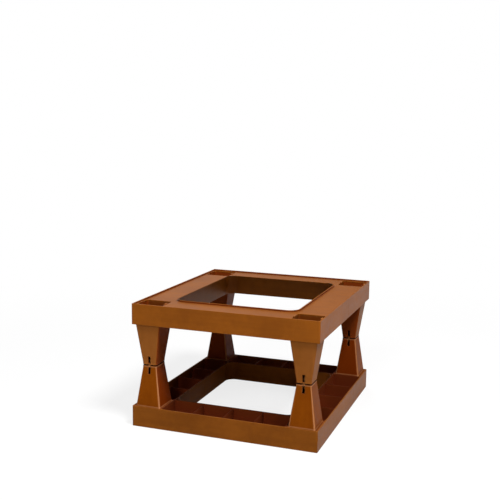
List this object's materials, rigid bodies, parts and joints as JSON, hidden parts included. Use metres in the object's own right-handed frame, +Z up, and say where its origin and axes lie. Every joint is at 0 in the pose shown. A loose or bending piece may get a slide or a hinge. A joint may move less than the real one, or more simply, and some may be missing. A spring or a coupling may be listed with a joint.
{
  "type": "hive stand",
  "caption": "Open brown plastic stand that carries a beehive: ribbed rectangular frames top and bottom, joined by hollow waisted legs that plug together at mid-height.",
  "frame": {"origin": "middle of the ground face, between the four corners of the lower frame", "axes": "+X to the right across the front, +Y from the front to the back, +Z up"},
  "size_m": [0.46, 0.51, 0.3],
  "materials": {
    "frame_plastic": "satin moulded brown",
    "leg_plastic": "satin moulded brown, a little more orange",
    "key_plastic": "satin moulded light brown"
  },
  "bodies": {
    "lower_half": {"lower_frame": "frame_plastic", "lower_leg_front_left": "leg_plastic", "lower_leg_front_right": "leg_plastic", "lower_leg_back_left": "leg_plastic", "lower_leg_back_right": "leg_plastic", "joining_key_front_left": "key_plastic", "joining_key_front_right": "key_plastic", "joining_key_back_left": "key_plastic", "joining_key_back_right": "key_plastic"},
    "upper_half": {"upper_leg_front_left": "leg_plastic", "upper_leg_front_right": "leg_plastic", "upper_leg_back_left": "leg_plastic", "upper_leg_back_right": "leg_plastic", "upper_frame": "frame_plastic"}
  },
  "joints": [
    {"name": "upper_half_lift", "type": "slide", "parent": "lower_half", "child": "upper_half", "axis": [0, 0, 1], "range_m": [0, 0.06]}
  ]
}
